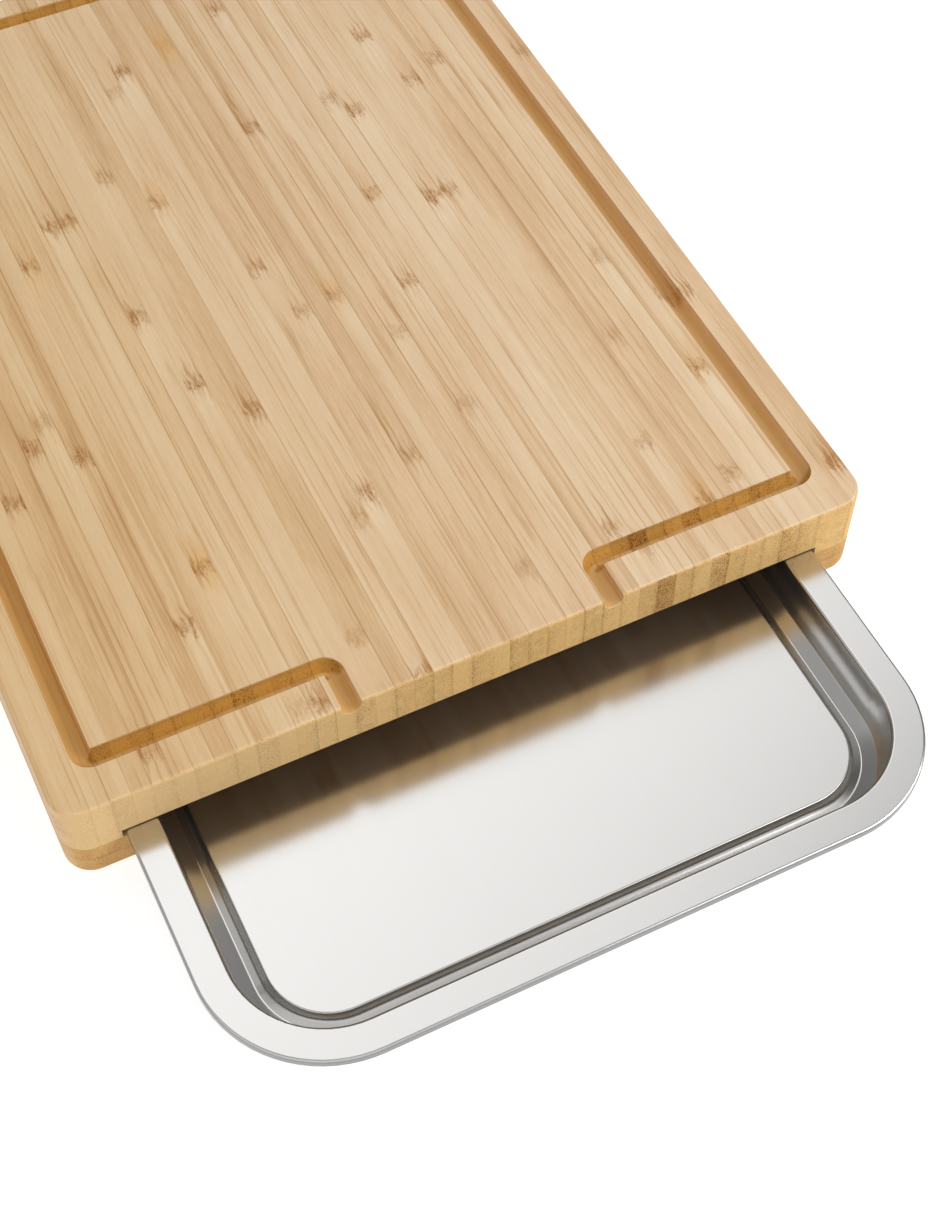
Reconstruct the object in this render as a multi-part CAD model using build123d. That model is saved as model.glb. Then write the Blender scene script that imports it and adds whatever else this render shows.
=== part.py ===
"""Bamboo cutting board with a stainless steel tray that slides in under its top.

Millimetres. +X runs to the right along the front edge, +Y to the back and +Z up. The origin
lies on the surface that the feet stand on, at the centre of the whole object's footprint with
the tray drawn out as far as it is at rest.
"""
from build123d import *
import os

# Board, outside
BOARD_WIDTH = 300.0
BOARD_DEPTH = 390.0
TOP_THICKNESS = 23.0
UPPER_PLY_THICKNESS = 7.5
LOWER_PLY_THICKNESS = 9.5
BOARD_CORNER_RADIUS = 10.0
TOP_EDGE_RADIUS = 1.2
BOTTOM_EDGE_RADIUS = 4.0

# Staves that the top is glued up from; the outermost one on the right is sawn down to width
STAVE_PITCH = 7.05
RIGHT_STAVE_WIDTH = 6.8

# Juice groove, with two runs that drain over the front edge onto the tray
GROOVE_WIDTH = 7.2
GROOVE_DEPTH = 5.0
GROOVE_SIDE_INSET = 15.4
GROOVE_FRONT_INSET = 18.2
GROOVE_DRAIN_OFFSET = 48.5
GROOVE_TURN_RADIUS = 3.8

# Rails under the top, and the slot routed into its underside for the tray's rim
RAIL_WIDTH = 29.0
REAR_RAIL_WIDTH = 30.0
SLOT_WIDTH = 262.0
SLOT_HEIGHT = 3.5
SLOT_CORNER_RADIUS = 10.0
SLOT_EDGE_RADIUS = 0.5

# Tray, pressed from one sheet
TRAY_WIDTH = 259.5
TRAY_LENGTH = 372.0
TRAY_CORNER_RADIUS = 45.0
SHEET_THICKNESS = 0.6
RIM_WIDTH = 11.5
LIP_HEIGHT = 3.0
LIP_CLEARANCE = 0.1
LIP_BEND_RADIUS = 1.0
RIM_BEND_RADIUS = 1.2
WALL_FOOT_INSET = 13.3
WALL_FOOT_DEPTH = 17.6
WALL_FOOT_RADIUS = 0.6
GUTTER_INSET = 18.6
GUTTER_DEPTH = 19.6
GUTTER_RADIUS = 0.8
FLANK_INSET = 21.4
FLANK_DEPTH = 18.3
FLANK_RADIUS = 2.5
PANEL_INSET = 22.95
PANEL_DEPTH = 15.8
PANEL_BEND_RADIUS = 0.8
PANEL_LAND = 4.0
TRAY_PULLED_OUT = 105.0

# Feet, let into the lower plies
FOOT_DIAMETER = 12.0
FOOT_HEIGHT = 2.0
FOOT_RECESS_DEPTH = 2.0
FOOT_RECESS_DIAMETER = 12.4
FOOT_EDGE_RADIUS = 0.8
FOOT_INSET = 28.0

# Levels above the feet's standing surface
RAIL_BOTTOM_Z = FOOT_HEIGHT
PLY_JOINT_Z = RAIL_BOTTOM_Z + LOWER_PLY_THICKNESS
RAIL_TOP_Z = PLY_JOINT_Z + UPPER_PLY_THICKNESS
BOARD_TOP_Z = RAIL_TOP_Z + TOP_THICKNESS
SLOT_TOP_Z = RAIL_TOP_Z + SLOT_HEIGHT
RIM_TOP_Z = RAIL_TOP_Z + LIP_CLEARANCE + LIP_HEIGHT

# Places along Y
BOARD_FRONT_Y = (TRAY_PULLED_OUT - BOARD_DEPTH) / 2
BOARD_BACK_Y = BOARD_FRONT_Y + BOARD_DEPTH
BOARD_CENTRE_Y = BOARD_FRONT_Y + BOARD_DEPTH / 2
SLOT_END_Y = BOARD_BACK_Y - REAR_RAIL_WIDTH
TRAY_FRONT_Y = BOARD_FRONT_Y - TRAY_PULLED_OUT
TRAY_CENTRE_Y = TRAY_FRONT_Y + TRAY_LENGTH / 2

BAY_WIDTH = BOARD_WIDTH - 2 * RAIL_WIDTH
RAIL_CENTRE_X = (BOARD_WIDTH - RAIL_WIDTH) / 2
PAST = 5.0  # how far a cutting shape runs past what it cuts


def board_slab(bottom_z, thickness):
    """A slab with the board's outline."""
    outline = Pos(0, BOARD_CENTRE_Y, bottom_z) * RectangleRounded(
        BOARD_WIDTH, BOARD_DEPTH, BOARD_CORNER_RADIUS
    )
    return extrude(outline, thickness)


def box_between(x_range, y_range, z_range):
    """A box from its lowest and highest corner."""
    size = [high - low for low, high in (x_range, y_range, z_range)]
    middle = [(high + low) / 2 for low, high in (x_range, y_range, z_range)]
    return Pos(*middle) * Box(*size)


def juice_groove():
    """The cutter's way round the top: a round-bottomed channel."""
    side_x = BOARD_WIDTH / 2 - GROOVE_SIDE_INSET
    front_y = BOARD_FRONT_Y + GROOVE_FRONT_INSET
    back_y = BOARD_BACK_Y - GROOVE_SIDE_INSET
    past_front_y = BOARD_FRONT_Y - PAST
    path = FilletPolyline(
        (-GROOVE_DRAIN_OFFSET, past_front_y, BOARD_TOP_Z),
        (-GROOVE_DRAIN_OFFSET, front_y, BOARD_TOP_Z),
        (-side_x, front_y, BOARD_TOP_Z),
        (-side_x, back_y, BOARD_TOP_Z),
        (side_x, back_y, BOARD_TOP_Z),
        (side_x, front_y, BOARD_TOP_Z),
        (GROOVE_DRAIN_OFFSET, front_y, BOARD_TOP_Z),
        (GROOVE_DRAIN_OFFSET, past_front_y, BOARD_TOP_Z),
        radius=GROOVE_TURN_RADIUS,
    )
    round_centre = GROOVE_WIDTH / 2 - GROOVE_DEPTH
    section = Pos(0, round_centre) * Circle(GROOVE_WIDTH / 2)
    section += Pos(0, round_centre / 2 + PAST / 2) * Rectangle(GROOVE_WIDTH, PAST - round_centre)
    start = Plane(origin=path @ 0, x_dir=(-1, 0, 0), z_dir=path % 0)
    return sweep(start * section, path)


def rim_slot():
    """The shallow slot in the top's underside, open at the front, that the tray's rim runs in."""
    front_y = BOARD_FRONT_Y - SLOT_CORNER_RADIUS - PAST
    length = SLOT_END_Y - front_y
    outline = Pos(0, front_y + length / 2, RAIL_TOP_Z - PAST) * RectangleRounded(
        SLOT_WIDTH, length, SLOT_CORNER_RADIUS
    )
    return extrude(outline, SLOT_HEIGHT + PAST)


def make_top():
    """The whole top, before it is parted into its staves."""
    top = board_slab(RAIL_TOP_Z, TOP_THICKNESS)
    top = fillet(top.faces().sort_by(Axis.Z)[-1].edges(), TOP_EDGE_RADIUS)
    top = top - juice_groove() - rim_slot()
    over_slot = top.edges().filter_by(Axis.X).filter_by_position(Axis.Z, SLOT_TOP_Z, SLOT_TOP_Z)
    return fillet(over_slot.sort_by(Axis.Y)[0], SLOT_EDGE_RADIUS)


def make_staves():
    """The top's staves by name, from left to right."""
    top = make_top()
    joints = []
    x = BOARD_WIDTH / 2 - RIGHT_STAVE_WIDTH
    while x > -BOARD_WIDTH / 2:
        joints.append(x)
        x -= STAVE_PITCH
    edges = [-BOARD_WIDTH / 2 - PAST] + sorted(joints) + [BOARD_WIDTH / 2 + PAST]
    across_y = (BOARD_FRONT_Y - PAST, BOARD_BACK_Y + PAST)
    across_z = (RAIL_TOP_Z - PAST, BOARD_TOP_Z + PAST)
    staves = {}
    for number, x_range in enumerate(zip(edges, edges[1:]), start=1):
        staves[f"top_stave_{number:02d}"] = top & box_between(x_range, across_y, across_z)
    return staves


def part_ply(slab, ply):
    """One layer of the frame under the top, parted into its left, right and rear pieces."""
    outer_x = BOARD_WIDTH / 2 + PAST
    inner_x = BAY_WIDTH / 2
    full_y = (BOARD_FRONT_Y - PAST, BOARD_BACK_Y + PAST)
    rear_y = (SLOT_END_Y, BOARD_BACK_Y + PAST)
    full_z = (-PAST, BOARD_TOP_Z)
    return {
        f"left_rail_{ply}_ply": slab & box_between((-outer_x, -inner_x), full_y, full_z),
        f"right_rail_{ply}_ply": slab & box_between((inner_x, outer_x), full_y, full_z),
        f"rear_rail_{ply}_ply": slab & box_between((-inner_x, inner_x), rear_y, full_z),
    }


def make_upper_ply():
    """The layer of the rails right under the top."""
    return part_ply(board_slab(PLY_JOINT_Z, UPPER_PLY_THICKNESS), "upper")


def foot_places():
    """Where each foot's centre stands, by node name."""
    rows = {"front": BOARD_FRONT_Y + FOOT_INSET, "rear": BOARD_BACK_Y - FOOT_INSET}
    columns = {"left": -RAIL_CENTRE_X, "right": RAIL_CENTRE_X}
    return {
        f"foot_{row}_{column}": (x, y)
        for row, y in rows.items()
        for column, x in columns.items()
    }


def make_lower_ply():
    """The bottom layer of the rails, rounded underneath, with a recess for each foot."""
    slab = board_slab(RAIL_BOTTOM_Z, LOWER_PLY_THICKNESS)
    slab = fillet(slab.faces().sort_by(Axis.Z)[0].edges(), BOTTOM_EDGE_RADIUS)
    for x, y in foot_places().values():
        recess = Cylinder(FOOT_RECESS_DIAMETER / 2, FOOT_RECESS_DEPTH + PAST)
        middle_z = RAIL_BOTTOM_Z + (FOOT_RECESS_DEPTH - PAST) / 2
        slab -= Pos(x, y, middle_z) * recess
    return part_ply(slab, "lower")


def make_foot(x, y):
    """A round pad, glued into its recess and proud of the rail."""
    height = FOOT_HEIGHT + FOOT_RECESS_DEPTH
    pad = Pos(x, y, height / 2) * Cylinder(FOOT_DIAMETER / 2, height)
    return fillet(pad.edges().group_by(Axis.Z)[0], FOOT_EDGE_RADIUS)


def tray_section():
    """The section of the tray's edge as a strip of sheet: lip, rim, wall, gutter, panel's edge.

    Its X is the distance in from the tray's outer edge, and its Y the height over the rim.
    """
    upper_side = FilletPolyline(
        (0, -LIP_HEIGHT),
        (0, 0),
        (RIM_WIDTH, 0),
        (WALL_FOOT_INSET, -WALL_FOOT_DEPTH),
        (GUTTER_INSET, -GUTTER_DEPTH),
        (FLANK_INSET, -FLANK_DEPTH),
        (PANEL_INSET, -PANEL_DEPTH),
        (PANEL_INSET + PANEL_LAND, -PANEL_DEPTH),
        radius=(
            LIP_BEND_RADIUS,
            RIM_BEND_RADIUS,
            WALL_FOOT_RADIUS,
            GUTTER_RADIUS,
            FLANK_RADIUS,
            PANEL_BEND_RADIUS,
        ),
    )
    strip = upper_side.wire().offset_2d(SHEET_THICKNESS, side=Side.RIGHT)
    return make_face(strip)


def tray_outline(inset, height):
    """The tray's outline in plan, drawn in by inset, at a height over the rim."""
    return Pos(0, TRAY_CENTRE_Y, RIM_TOP_Z + height) * RectangleRounded(
        TRAY_WIDTH - 2 * inset, TRAY_LENGTH - 2 * inset, TRAY_CORNER_RADIUS - inset
    )


def make_tray():
    """The tray: its edge swept round the outline, closed by the flat panel."""
    path = tray_outline(0, 0).face().outer_wire()
    along = path % 0
    start = Plane(origin=path @ 0, x_dir=Vector(0, 0, 1).cross(along), z_dir=along)
    edge = sweep(start * tray_section(), path)
    panel = extrude(tray_outline(PANEL_INSET + PANEL_LAND, -PANEL_DEPTH), -SHEET_THICKNESS)
    return edge + panel


nodes = make_staves() | make_upper_ply() | make_lower_ply()
nodes["tray"] = make_tray()
for foot_name, foot_place in foot_places().items():
    nodes[foot_name] = make_foot(*foot_place)

os.makedirs("parts", exist_ok=True)
for node_name, shape in nodes.items():
    export_step(shape, f"parts/{node_name}.step")
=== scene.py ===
"""Looks of a bamboo cutting board with a stainless steel tray that slides in under its top.

Metres, in the frame's own axes: +X to the right along the front edge, +Y to the back, +Z up.
"""
import math

import bmesh
import bpy
from mathutils import Euler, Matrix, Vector


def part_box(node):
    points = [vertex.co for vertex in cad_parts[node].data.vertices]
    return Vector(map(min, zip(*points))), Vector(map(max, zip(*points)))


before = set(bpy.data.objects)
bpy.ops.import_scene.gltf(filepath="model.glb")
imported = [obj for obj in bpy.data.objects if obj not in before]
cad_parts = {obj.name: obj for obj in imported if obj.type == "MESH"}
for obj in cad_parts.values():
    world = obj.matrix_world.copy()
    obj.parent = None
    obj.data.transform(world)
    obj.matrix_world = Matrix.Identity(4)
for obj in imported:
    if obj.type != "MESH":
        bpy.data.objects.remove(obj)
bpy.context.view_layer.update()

# Levels and ends of the board and the tray
stave_low, stave_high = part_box("top_stave_20")
rail_low, rail_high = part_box("left_rail_upper_ply")
tray_low, tray_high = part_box("tray")
BOARD_TOP_Z = stave_high.z
BOARD_FRONT_Y = stave_low.y
BOARD_BACK_Y = stave_high.y
TOP_UNDERSIDE_Z = rail_high.z
PLY_JOINT_Z = rail_low.z
TRAY_MIDDLE_Y = (tray_low.y + tray_high.y) / 2

# Photograph's height in pixels, and the camera that stands where the photographer stood. It
# looks down by one angle and turns from +Y towards +X by the other, in degrees
PHOTO_HEIGHT = 1215
FOCAL_PIXELS = 2027.2
SENSOR_HEIGHT_MM = 36.0
CAMERA_PLACE = (-0.16783, -0.47648, 0.60171)
CAMERA_DOWN = 55.04
CAMERA_TURN = 25.89
CAMERA_CLIP_START = 0.01


def linear(red, green, blue):
    """A display colour from 0 to 255 as the linear colour that shaders take."""
    def channel(value):
        value /= 255
        return value / 12.92 if value <= 0.04045 else ((value + 0.055) / 1.055) ** 2.4
    return (channel(red), channel(green), channel(blue), 1.0)


def linears(tones):
    return [linear(*tone) for tone in tones]


class Nodes:
    """A node tree, built up node by node. Its methods return sockets."""

    def __init__(self, tree):
        self.tree = tree

    def node(self, kind, **settings):
        made = self.tree.nodes.new(kind)
        for name, value in settings.items():
            setattr(made, name, value)
        return made

    def feed(self, socket, value):
        """Sets a socket to a number, a colour or a vector, or links another socket into it."""
        if isinstance(value, bpy.types.NodeSocket):
            self.tree.links.new(value, socket)
        else:
            socket.default_value = value

    def math(self, operation, *values):
        made = self.node("ShaderNodeMath", operation=operation)
        for socket, value in zip(made.inputs, values):
            self.feed(socket, value)
        return made.outputs[0]

    def chain(self, operation, values):
        result = values[0]
        for value in values[1:]:
            result = self.math(operation, result, value)
        return result

    def add(self, *values):
        return self.chain("ADD", values)

    def times(self, *values):
        return self.chain("MULTIPLY", values)

    def less(self, a, b):
        return self.math("SUBTRACT", a, b)

    def size(self, value):
        """The value without its sign."""
        return self.math("ABSOLUTE", value)

    def rise(self, value, low, high, smooth=True):
        """0 below low, 1 above high, and the other way round where low is above high."""
        kind = "SMOOTHSTEP" if smooth else "LINEAR"
        made = self.node("ShaderNodeMapRange", interpolation_type=kind, clamp=True)
        self.feed(made.inputs["Value"], value)
        ends = (low, high, 0.0, 1.0) if low < high else (high, low, 1.0, 0.0)
        for name, end in zip(("From Min", "From Max", "To Min", "To Max"), ends):
            made.inputs[name].default_value = end
        return made.outputs["Result"]

    def split(self, vector):
        made = self.node("ShaderNodeSeparateXYZ")
        self.feed(made.inputs[0], vector)
        return made.outputs

    def join(self, x, y, z):
        made = self.node("ShaderNodeCombineXYZ")
        for socket, value in zip(made.inputs, (x, y, z)):
            self.feed(socket, value)
        return made.outputs[0]

    def scaled(self, vector, scales):
        """The vector with each part multiplied by its own scale."""
        made = self.node("ShaderNodeVectorMath", operation="MULTIPLY")
        self.feed(made.inputs[0], vector)
        self.feed(made.inputs[1], scales)
        return made.outputs["Vector"]

    def dot(self, vector, axis):
        made = self.node("ShaderNodeVectorMath", operation="DOT_PRODUCT")
        self.feed(made.inputs[0], vector)
        self.feed(made.inputs[1], axis)
        return made.outputs["Value"]

    def noise(self, vector, scales, detail=2.0, roughness=0.5):
        """Smooth noise about 0.5, as fine along each axis as its scale says."""
        made = self.node("ShaderNodeTexNoise", noise_dimensions="3D")
        self.feed(made.inputs["Vector"], self.scaled(vector, scales))
        made.inputs["Scale"].default_value = 1.0
        made.inputs["Detail"].default_value = detail
        made.inputs["Roughness"].default_value = roughness
        return made.outputs["Fac"]

    def hashed(self, number, seed):
        """A random number from 0 to 1 for each whole number."""
        made = self.node("ShaderNodeTexWhiteNoise", noise_dimensions="2D")
        self.feed(made.inputs["Vector"], self.join(number, seed, 0.0))
        return made.outputs["Value"]

    def mix(self, factor, a, b, blend="MIX"):
        made = self.node("ShaderNodeMix", data_type="RGBA", blend_type=blend)
        colours = [socket for socket in made.inputs if socket.type == "RGBA"]
        self.feed(made.inputs["Factor"], factor)
        self.feed(colours[0], a)
        self.feed(colours[1], b)
        return [socket for socket in made.outputs if socket.type == "RGBA"][0]


class Shader(Nodes):
    """One material, with the nodes that feed its surface."""

    def __init__(self, name):
        self.material = bpy.data.materials.new(name)
        self.material.use_nodes = True
        super().__init__(self.material.node_tree)
        self.surface = self.tree.nodes["Principled BSDF"]
        self.place = self.node("ShaderNodeTexCoord").outputs["Object"]

    def facing(self):
        """The three parts of the direction that a face looks in."""
        return self.split(self.node("ShaderNodeNewGeometry").outputs["True Normal"])

    def set(self, **inputs):
        """Sets the surface's sockets, named with _ for a space."""
        for name, value in inputs.items():
            self.feed(self.surface.inputs[name.replace("_", " ")], value)

    def bump(self, height, strength, distance):
        made = self.node("ShaderNodeBump")
        self.feed(made.inputs["Height"], height)
        made.inputs["Strength"].default_value = strength
        made.inputs["Distance"].default_value = distance
        self.feed(self.surface.inputs["Normal"], made.outputs["Normal"])


# Bamboo ------------------------------------------------------------------------------------

STAVE_PITCH = 0.00705
RIGHT_JOINT_X = 0.1432       # the joint beside the outermost stave on the right
PLY_PITCH = 0.0095           # thickness of the rails' lower ply

# Tones of the long grain, from light to dark and then the knuckles' marks, and of the end grain
STAVE_TONES = ((238, 213, 179), (226, 193, 153), (190, 144, 93), (172, 118, 60))
STAVE_END_TONES = ((226, 186, 122), (142, 92, 30))
RAIL_TONES = ((222, 186, 134), (210, 168, 112), (176, 128, 72), (160, 106, 50))
RAIL_END_TONES = ((208, 162, 100), (144, 96, 38))

# Staves whose end grain is darkest. They are numbered from right to left, where 0 is the stave
# beside the outermost one
DARK_STAVES = {10: 1.0, 7: 0.55, 3: 0.5, 26: 0.45, 31: 0.4}

# One seed for each thing that is random
SEEDS = {
    "knuckle place": 3.1,
    "knuckle strength": 7.7,
    "knuckle stain": 2.4,
    "skin side": 5.9,
    "open joint": 9.2,
    "shade": 1.3,
    "end shade": 12.5,
}

# Knuckles of the cane. In each pair of limits here and below, a mask is 0 at the first and 1 at
# the second. Distances from a knuckle count up along the fibres
KNUCKLE_SPACING = 0.245
KNUCKLES_APART = 17.0        # more than a stave has, so that each knuckle has its own number
KNUCKLE_RAGGED = 0.016
KNUCKLE_MESH = (0.0056, 0.0010)
KNUCKLE_FAN = (0.012, 0.002)
KNUCKLE_STAIN = (0.020, 0.0)
KNUCKLE_BEYOND = ((0.032, 0.002), (-0.003, 0.001))
KNUCKLE_BEFORE = ((-0.040, -0.006), (0.001, -0.003))
STAIN_TONE = (226, 172, 96)
FIBRE_SWAY = 0.0030
FIBRE_SWAY_REACH = (0.030, 0.0)

# Where the juice groove is: its depth under the top, its distance from the board's middle, front
# and back, and the drains, beyond which it keeps further back from the front edge
GROOVE_UPPER_DEPTH = (0.0002, 0.0012)
GROOVE_LOWER_DEPTH = (0.0075, 0.0060)
GROOVE_BOTTOM_DEPTH = (0.0008, 0.0046)
GROOVE_FROM_MIDDLE = (0.1396, 0.1388)
GROOVE_FROM_FRONT = (0.0001, 0.0006)
GROOVE_FROM_BACK = (0.0010, 0.0020)
PAST_DRAINS = (0.100, 0.110)
PAST_DRAINS_SET_BACK = 0.008
# Groove tints: oil and painted shade over the whole groove, more oil where it cuts the end grain,
# and the most painted shade at its bottom
GROOVE_OIL_AND_SHADE_TINT = (0.97, 0.91, 0.77, 1.0)
GROOVE_END_TINT = (0.85, 0.80, 0.62, 1.0)
GROOVE_BOTTOM_OIL_AND_SHADE_TINT = (0.90, 0.80, 0.58, 1.0)

# How squarely a face looks along the fibres where it shows end grain
END_LEAN = (0.45, 0.90)
GROOVE_END_LEAN = (0.03, 0.30)

# Towards the left the staves get painted shade on top, darker and yellower where the right shows
# gloss, and have a paler tone on the front and back
LEFT_ON_TOP = (0.06, -0.15)
LEFT_ON_END = (0.0, -0.12)
LEFT_SHADE_TINT = (0.95, 0.89, 0.74, 1.0)
LEFT_END_TONE = (216, 186, 142)

# Painted shade on the top's underside: it looks down, at a level that the rails' undersides are far
# below
UNDERSIDE_LEAN = (-0.5, -0.9)
UNDERSIDE_LEVEL = (TOP_UNDERSIDE_Z - 0.004, TOP_UNDERSIDE_Z - 0.001)
UNDERSIDE_SHADE_TONE = (88, 58, 36)


class Bamboo(Shader):
    """Strips of cane glued together, with the grain along Y right through the wood.

    The strips stand side by side, or lie on each other where level is true. Their streaks are a
    solid texture, so the ends of the fibres show as dots on the end grain.
    """

    def __init__(self, name, level):
        super().__init__(name)
        self.level = level
        self.x, self.y, self.z = self.split(self.place)
        self.facing_y, self.facing_z = self.facing()[1:]
        if level:
            along = self.times(self.less(self.z, PLY_JOINT_Z), 1 / PLY_PITCH)
        else:
            along = self.times(self.less(RIGHT_JOINT_X, self.x), 1 / STAVE_PITCH)
        self.strip = self.math("FLOOR", along)
        self.across = self.math("FRACT", along)
        self.find_knuckles()
        self.find_fibres()
        self.find_skin_and_joints()
        self.find_groove()
        self.find_ends()

    def own(self, use):
        """A random number from 0 to 1 for each strip."""
        return self.hashed(self.strip, SEEDS[use])

    def find_knuckles(self):
        """One place along each strip, and again every spacing, with a ragged outline."""
        turns = self.add(self.times(self.y, 1 / KNUCKLE_SPACING), self.own("knuckle place"))
        number = self.add(self.times(self.strip, KNUCKLES_APART), self.math("FLOOR", turns))
        self.knuckle = number
        self.strength = self.rise(self.hashed(number, SEEDS["knuckle strength"]), -0.7, 0.9)
        self.by_knuckle = self.join(self.x, self.y, number)
        ragged = self.noise(self.by_knuckle, (420.0, 150.0, 1.0), 3.0, 0.7)
        straight = self.times(self.less(self.math("FRACT", turns), 0.5), KNUCKLE_SPACING)
        offset = self.add(straight, self.times(self.less(ragged, 0.5), KNUCKLE_RAGGED))
        self.distance = self.size(offset)
        self.near = self.times(self.rise(self.distance, *KNUCKLE_MESH), self.strength)
        self.beyond, self.before = [
            self.times(self.rise(offset, *far), self.rise(offset, *close), self.strength)
            for far, close in (KNUCKLE_BEYOND, KNUCKLE_BEFORE)
        ]

    def find_fibres(self):
        """Fibres bend round the knuckles, and no strip's are like another's."""
        sway = self.noise(self.by_knuckle, (150.0, 90.0, 1.0), 1.0)
        reach = self.rise(self.distance, *FIBRE_SWAY_REACH)
        drift = self.times(self.less(sway, 0.5), reach, FIBRE_SWAY)
        bent_x = self.add(self.x, drift, self.times(self.strip, 0.37))
        shifted_y = self.add(self.y, self.times(self.strip, 1.3))
        self.bent = self.join(bent_x, self.y, self.z)
        self.shifted = self.join(bent_x, shifted_y, self.z)
        self.fine = self.streaks(1700.0, 14.0, 2.0, 0.65)
        self.thread = self.streaks(900.0, 34.0)
        self.long_thread = self.streaks(620.0, 170.0)
        self.bands = self.streaks(230.0, 45.0, 2.0)
        self.patches = self.noise(self.place, (45.0, 11.0, 45.0))

    def streaks(self, per_metre, stretch, detail=1.0, roughness=0.5):
        """Noise along the fibres, longer than it is wide by the stretch."""
        scales = (per_metre, per_metre / stretch, per_metre)
        return self.noise(self.shifted, scales, detail, roughness)

    def find_skin_and_joints(self):
        """The cane's skin is on one side of each strip, and some glued joints show dark."""
        side = self.math("GREATER_THAN", self.own("skin side"), 0.5)
        self.to_skin = self.size(self.less(self.across, side))
        at_joint = self.rise(self.size(self.less(self.across, 0.5)), 0.44, 0.497)
        worn = self.noise(self.join(self.strip, self.y, 0.0), (3.7, 14.0, 1.0), 1.0)
        shows = self.rise(self.own("open joint"), 0.25, 0.9)
        self.joint = self.times(at_joint, shows, self.rise(worn, 0.25, 0.55), 0.75)

    def find_groove(self):
        """The walls of the juice groove, and how near they are to its bottom.

        No other surface shows within these limits. The groove reaches the front edge only where
        it drains.
        """
        off_middle = self.size(self.x)
        depth = self.less(BOARD_TOP_Z, self.z)
        set_back = self.times(self.rise(off_middle, *PAST_DRAINS), PAST_DRAINS_SET_BACK)
        from_front = self.less(self.less(self.y, BOARD_FRONT_Y), set_back)
        self.in_groove = self.times(
            self.rise(depth, *GROOVE_UPPER_DEPTH),
            self.rise(depth, *GROOVE_LOWER_DEPTH),
            self.rise(off_middle, *GROOVE_FROM_MIDDLE),
            self.rise(from_front, *GROOVE_FROM_FRONT),
            self.rise(self.less(BOARD_BACK_Y, self.y), *GROOVE_FROM_BACK),
        )
        self.at_bottom = self.times(self.in_groove, self.rise(depth, *GROOVE_BOTTOM_DEPTH))

    def find_ends(self):
        """End grain: faces that look along Y, and the groove wherever it cuts across the fibres."""
        lean = self.size(self.facing_y)
        cut_across = self.times(self.in_groove, self.rise(lean, *GROOVE_END_LEAN))
        self.end = self.math("MINIMUM", self.add(self.rise(lean, *END_LEAN), cut_across), 1.0)

    def long_grain(self, light, middle, dark):
        """Each strip's own shade, darker and with more fibres towards the skin."""
        clusters = self.noise(self.bent, (150.0, 16.0, 150.0))
        crowded = self.add(
            self.rise(clusters, 0.44, 0.64),
            self.times(self.beyond, 1.2),
            self.times(self.to_skin, 0.35),
        )
        lines = self.add(
            self.times(self.rise(self.thread, 0.53, 0.72), self.add(0.10, crowded), 0.25),
            self.times(self.rise(self.long_thread, 0.57, 0.70), 0.26),
        )
        gaps = self.times(self.less(0.42, self.thread), self.rise(self.thread, 0.42, 0.25), 0.4)
        depth = self.add(
            self.times(self.own("shade"), 0.34),
            self.times(self.to_skin, 0.14),
            self.times(self.less(self.bands, 0.5), 0.50),
            self.times(self.less(self.patches, 0.5), 0.50),
            self.times(self.less(self.fine, 0.5), 0.42),
            gaps,
            lines,
            self.times(self.beyond, 0.10),
            self.times(self.before, -0.20),
            self.joint,
        )
        wood = self.mix(self.rise(depth, -0.15, 0.35, False), light, middle)
        return self.mix(self.rise(depth, 0.30, 1.05, False), wood, dark)

    def mark_knuckles(self, wood, mark):
        """Some knuckles stain the wood round them, and all have a mesh of short dark fibres."""
        stained = self.rise(self.hashed(self.knuckle, SEEDS["knuckle stain"]), 0.60, 0.95)
        stain = self.times(stained, self.rise(self.distance, *KNUCKLE_STAIN))
        stain = self.times(stain, self.rise(self.patches, 0.36, 0.60), 0.5)
        wood = self.mix(stain, wood, linear(*STAIN_TONE))
        mesh = self.noise(self.bent, (1300.0, 420.0, 1300.0), 2.0, 0.7)
        flecks = self.times(self.near, self.rise(mesh, 0.44, 0.62))
        reach = self.rise(self.distance, *KNUCKLE_FAN)
        fanned = self.times(reach, self.strength, self.rise(self.thread, 0.50, 0.62), 0.4)
        marked = self.add(self.times(self.near, 0.22), self.times(flecks, 0.45), fanned)
        return self.mix(marked, wood, mark)

    def end_grain(self, light, dark):
        """Deeper in colour, with the fibre bundles as dots, thickest towards the skin."""
        bundle = self.node("ShaderNodeTexVoronoi", voronoi_dimensions="3D", feature="F1")
        bundle.inputs["Scale"].default_value = 1.0
        self.feed(bundle.inputs["Vector"], self.scaled(self.place, (1500.0, 45.0, 1500.0)))
        dots = self.rise(bundle.outputs["Distance"], 0.55, 0.15)
        crowd = self.noise(self.place, (260.0, 20.0, 190.0))
        depth = self.add(
            self.times(self.own("end shade"), 0.26),
            self.times(dots, self.add(self.times(self.to_skin, 0.30), self.times(crowd, 0.50))),
            self.times(self.less(self.bands, 0.5), 0.5),
            self.times(self.rise(self.to_skin, 0.72, 1.0), 0.16),
            self.times(self.joint, 0.4),
            -0.08,
        )
        if not self.level:
            for number, amount in DARK_STAVES.items():
                here = self.math("COMPARE", self.strip, number, 0.5)
                extra = self.times(here, self.add(0.25, self.times(dots, 0.55)), amount)
                depth = self.add(depth, extra)
        return self.mix(self.rise(depth, 0.0, 1.0, False), light, dark)

    def change_to_left(self, wood):
        """Towards the left, painted shade on top, darker and yellower, and paler on the front and
        back ends.
        """
        on_end = self.times(self.end, self.less(1.0, self.in_groove))
        left_shade_on_top = self.times(self.rise(self.x, *LEFT_ON_TOP), self.less(1.0, on_end))
        paler = self.times(on_end, self.rise(self.x, *LEFT_ON_END), 0.5)
        wood = self.mix(left_shade_on_top, wood, LEFT_SHADE_TINT, "MULTIPLY")
        return self.mix(paler, wood, linear(*LEFT_END_TONE))

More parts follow.
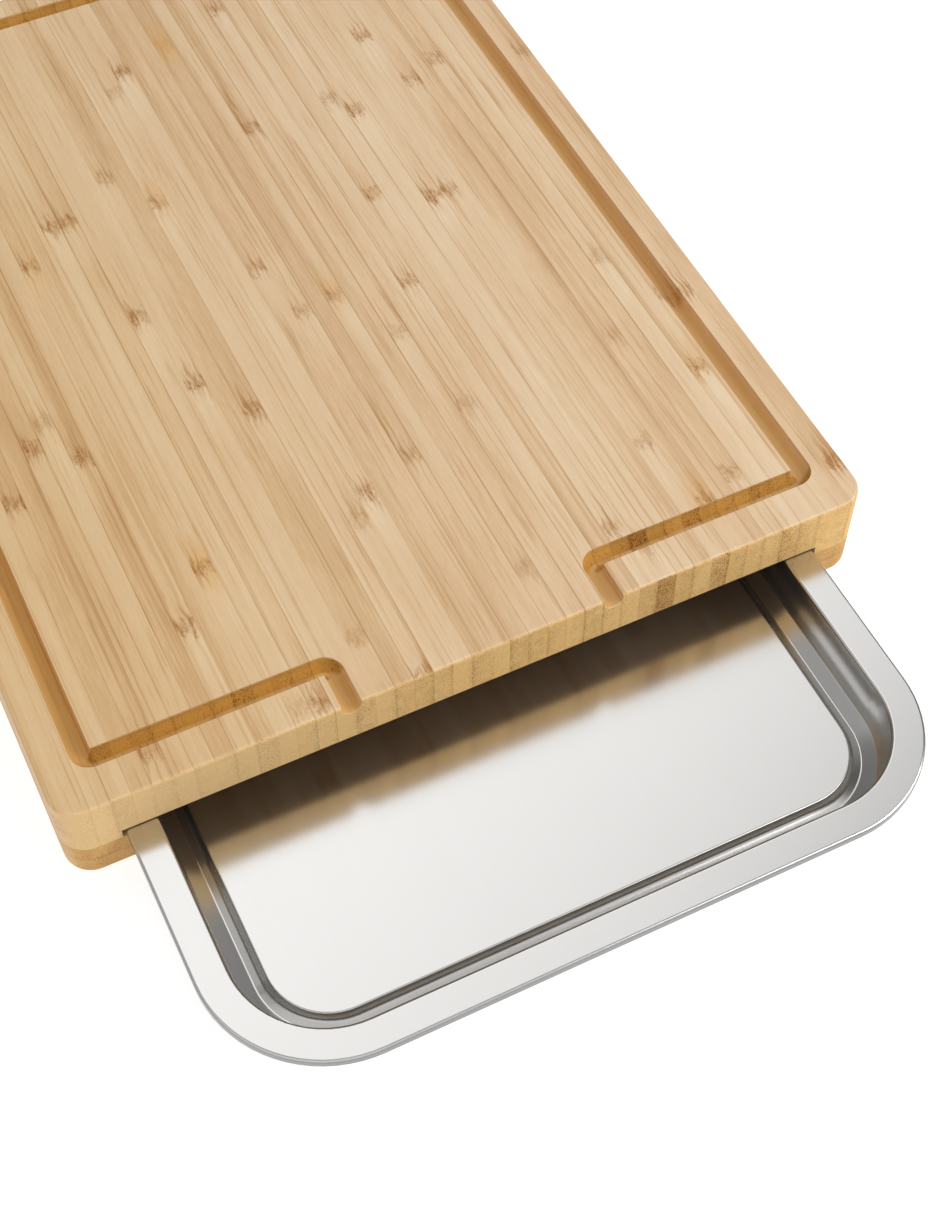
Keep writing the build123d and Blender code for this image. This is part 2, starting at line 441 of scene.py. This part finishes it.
    def oil_and_shade_groove(self, wood):
        """The groove is burnished and holds more oil, and painted shade darkens it, most at its
        bottom.
        """
        wood = self.mix(self.in_groove, wood, GROOVE_OIL_AND_SHADE_TINT, "MULTIPLY")
        wood = self.mix(self.times(self.in_groove, self.end), wood, GROOVE_END_TINT, "MULTIPLY")
        return self.mix(self.at_bottom, wood, GROOVE_BOTTOM_OIL_AND_SHADE_TINT, "MULTIPLY")

    def shade_underside(self, wood):
        """Painted shade: the top's underside over the tray is darkened, which also darkens its
        reflection in the tray.
        """
        looks_down = self.rise(self.facing_z, *UNDERSIDE_LEAN)
        under = self.times(looks_down, self.rise(self.z, *UNDERSIDE_LEVEL))
        return self.mix(self.times(under, 0.6), wood, linear(*UNDERSIDE_SHADE_TONE))


def bamboo(name, tones, end_tones, level=False):
    """Oiled bamboo in four tones along the grain and two on the end grain."""
    light, middle, dark, mark = linears(tones)
    end_light, end_dark = linears(end_tones)
    s = Bamboo(name, level)
    wood = s.mark_knuckles(s.long_grain(light, middle, dark), mark)
    wood = s.mix(s.end, wood, s.end_grain(end_light, end_dark))
    if not level:
        wood = s.change_to_left(wood)
    wood = s.shade_underside(s.oil_and_shade_groove(wood))
    roughness = s.add(0.42, s.times(s.fine, 0.14), s.times(s.end, 0.25))
    s.set(Base_Color=wood, Roughness=roughness, Specular_IOR_Level=0.22)
    s.bump(s.add(s.fine, s.times(s.bands, 0.5)), 0.12, 0.0004)
    return s.material


# Steel and silicone -------------------------------------------------------------------------

STEEL_TONES = ((203, 202, 200), (211, 210, 208))
# Painted dark reflection on the steel's steep outward faces: its tone, and how much of it is mixed
# in
PAINTED_REFLECTION_TONE = (60, 60, 59)
PAINTED_REFLECTION_SHARE = 0.62
SILICONE_TONES = ((196, 193, 186), (212, 209, 202))


def satin_steel():
    """Pressed stainless steel with a fine satin finish, rubbed along the tray, and a painted dark
    reflection on its steep outward faces.
    """
    s = Shader("satin_steel")
    rubbed = s.noise(s.place, (2600.0, 60.0, 400.0), 2.0, 0.6)
    cloud = s.noise(s.place, (22.0, 14.0, 22.0), 3.0, 0.55)
    colour = s.mix(cloud, *linears(STEEL_TONES))
    # Painted reflection: steep faces that look away from the tray's middle, such as the turned-down
    # lip, mirror dark
    #     # surroundings in the photograph. The pale floor can't give that, so a dark reflection is
    #     painted into the steel's colour there
    x, y = s.split(s.place)[:2]
    facing_x, facing_y, facing_z = s.facing()
    outward = s.add(s.times(x, facing_x), s.times(s.less(y, TRAY_MIDDLE_Y), facing_y))
    upright = s.rise(s.size(facing_z), 0.80, 0.35)
    # How much painted dark reflection each face gets
    dark = s.times(s.rise(outward, 0.0, 0.04), upright, PAINTED_REFLECTION_SHARE)
    colour = s.mix(dark, colour, linear(*PAINTED_REFLECTION_TONE))
    roughness = s.add(0.14, s.times(cloud, 0.06), s.times(rubbed, 0.05))
    s.set(Base_Color=colour, Metallic=1.0, Roughness=roughness)
    s.bump(s.add(s.times(rubbed, 0.25), cloud), 0.05, 0.0003)
    return s.material


def silicone():
    """The feet's soft translucent grey pads."""
    s = Shader("silicone_pad")
    grain = s.noise(s.place, (900.0, 900.0, 900.0), 3.0, 0.6)
    colour = s.mix(grain, *linears(SILICONE_TONES))
    s.set(Base_Color=colour, Roughness=s.add(0.5, s.times(grain, 0.15)))
    s.set(Subsurface_Weight=0.15, Subsurface_Radius=(0.004, 0.0035, 0.003))
    s.bump(grain, 0.1, 0.0001)
    return s.material


def dress(names, material):
    """Gives CAD nodes their material."""
    for name in names:
        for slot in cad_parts[name].material_slots:
            slot.material = material


# Studio -------------------------------------------------------------------------------------

# Directions are given as a turn from +Y towards +X and a rise over the floor, in degrees.
# The soft box is taller than it is wide and leans to the left by its roll. Its light falls off
# from its left side to its right by the slope, and fades over its edge.
SOFTBOX_TURN = 27.0
SOFTBOX_RISE = 60.0
SOFTBOX_ROLL = 33.0
SOFTBOX_HALF_WIDTH = 12.0
SOFTBOX_HALF_HEIGHT = 22.0
SOFTBOX_EDGE = 4.5
SOFTBOX_LIGHT = 1.43
SOFTBOX_SLOPE = -1.8

# The sky goes from the dark sides' light to the ceiling's between two heights, where the horizon
# is at 0 and straight up at 1
SKY_HEIGHTS = (0.15, 0.66)
CEILING_LIGHT = 0.22
DARK_LIGHT = 0.06

# Broad soft lights in the sky: turn, rise, how far from its middle each reaches, and its light
FILLS = (
    (-70.0, 40.0, 36.0, 0.45),
    (-150.0, 24.0, 75.0, 0.75),
    (140.0, 66.0, 30.0, 0.22),
)

# The key light, aimed at the origin
KEY_TURN = 125.0
KEY_RISE = 38.0
KEY_DISTANCE = 2.2
KEY_POWER = 29.5
KEY_SIZE = 1.6

FLOOR_REACH = 6.0
FLOOR_SEGMENTS = 8
FLOOR_TONES = ((188, 188, 188), (192, 192, 191))
FLOOR_GLOW_COLOUR = (1.0, 1.0, 1.0, 1.0)
FLOOR_GLOW = 0.75


def aimed(turn, rise, reach=1.0):
    """The point at that turn and rise, reach away from the origin."""
    turn = math.radians(turn)
    rise = math.radians(rise)
    flat = math.cos(rise) * reach
    return Vector((math.sin(turn) * flat, math.cos(turn) * flat, math.sin(rise) * reach))


def sky(tree):
    """A large soft box behind the board, a grey ceiling, broad fills, and dark low sides."""
    s = Nodes(tree)
    direction = s.node("ShaderNodeTexCoord").outputs["Generated"]
    height = s.split(direction)[2]
    total = s.add(DARK_LIGHT, s.times(s.rise(height, *SKY_HEIGHTS), CEILING_LIGHT - DARK_LIGHT))

    middle = aimed(SOFTBOX_TURN, SOFTBOX_RISE)
    right = aimed(SOFTBOX_TURN + 90, 0)
    up = aimed(SOFTBOX_TURN, SOFTBOX_RISE + 90)
    roll = math.radians(SOFTBOX_ROLL)
    across = s.dot(direction, right * math.cos(roll) + up * math.sin(roll))
    along = s.dot(direction, up * math.cos(roll) - right * math.sin(roll))
    inside = s.math("GREATER_THAN", s.dot(direction, middle), 0.0)
    for offset, half in ((across, SOFTBOX_HALF_WIDTH), (along, SOFTBOX_HALF_HEIGHT)):
        outer = math.sin(math.radians(half + SOFTBOX_EDGE))
        inner = math.sin(math.radians(half - SOFTBOX_EDGE))
        inside = s.times(inside, s.rise(s.size(offset), outer, inner))
    box_light = s.add(SOFTBOX_LIGHT - CEILING_LIGHT, s.times(across, SOFTBOX_SLOPE))
    total = s.add(total, s.times(inside, box_light))

    for turn, rise, reach, light in FILLS:
        nearness = s.dot(direction, aimed(turn, rise))
        total = s.add(total, s.times(s.rise(nearness, math.cos(math.radians(reach)), 1.0), light))
    back = tree.nodes["Background"]
    s.feed(back.inputs["Color"], total)
    back.inputs["Strength"].default_value = 1.0


def pale_floor():
    """A level floor with some light of its own, so that it shows white as in the photograph."""
    mesh = bpy.data.meshes.new("floor")
    form = bmesh.new()
    bmesh.ops.create_grid(
        form, x_segments=FLOOR_SEGMENTS, y_segments=FLOOR_SEGMENTS, size=FLOOR_REACH
    )
    form.to_mesh(mesh)
    form.free()
    floor = bpy.data.objects.new("floor", mesh)
    bpy.context.scene.collection.objects.link(floor)
    s = Shader("pale_floor")
    cloud = s.noise(s.place, (3.0, 3.0, 0.0))
    pale = s.mix(cloud, *linears(FLOOR_TONES))
    s.set(Base_Color=pale, Roughness=0.9, Specular_IOR_Level=0.1)
    s.set(Emission_Color=FLOOR_GLOW_COLOUR, Emission_Strength=FLOOR_GLOW)
    mesh.materials.append(s.material)


def key_light():
    """A square soft light at the front right."""
    light = bpy.data.lights.new("key", "AREA")
    light.shape = "SQUARE"
    light.size = KEY_SIZE
    light.energy = KEY_POWER
    holder = bpy.data.objects.new("key", light)
    holder.location = aimed(KEY_TURN, KEY_RISE, KEY_DISTANCE)
    holder.rotation_euler = (-holder.location).to_track_quat("-Z", "Y").to_euler()
    bpy.context.scene.collection.objects.link(holder)


def studio():
    """A pale floor, the sky and a key light, with colours shown as they are."""
    scene = bpy.context.scene
    scene.view_settings.view_transform = "Standard"
    scene.view_settings.look = "None"
    pale_floor()
    world = bpy.data.worlds.new("studio")
    scene.world = world
    world.use_nodes = True
    sky(world.node_tree)
    key_light()


def camera():
    """The camera at the photograph's place and angle."""
    view = bpy.data.cameras.new("camera")
    view.sensor_fit = "VERTICAL"
    view.sensor_height = SENSOR_HEIGHT_MM
    view.lens = SENSOR_HEIGHT_MM * FOCAL_PIXELS / PHOTO_HEIGHT
    view.clip_start = CAMERA_CLIP_START
    holder = bpy.data.objects.new("camera", view)
    holder.location = CAMERA_PLACE
    holder.rotation_euler = Euler((math.radians(90 - CAMERA_DOWN), 0.0, math.radians(-CAMERA_TURN)))
    bpy.context.scene.collection.objects.link(holder)
    bpy.context.scene.camera = holder


camera()
studio()
staves = [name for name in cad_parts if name.startswith("top_stave")]
rails = [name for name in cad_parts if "rail" in name]
feet = [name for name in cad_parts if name.startswith("foot")]
dress(staves, bamboo("bamboo_top", STAVE_TONES, STAVE_END_TONES))
dress(rails, bamboo("bamboo_rail", RAIL_TONES, RAIL_END_TONES, level=True))
dress(["tray"], satin_steel())
dress(feet, silicone())
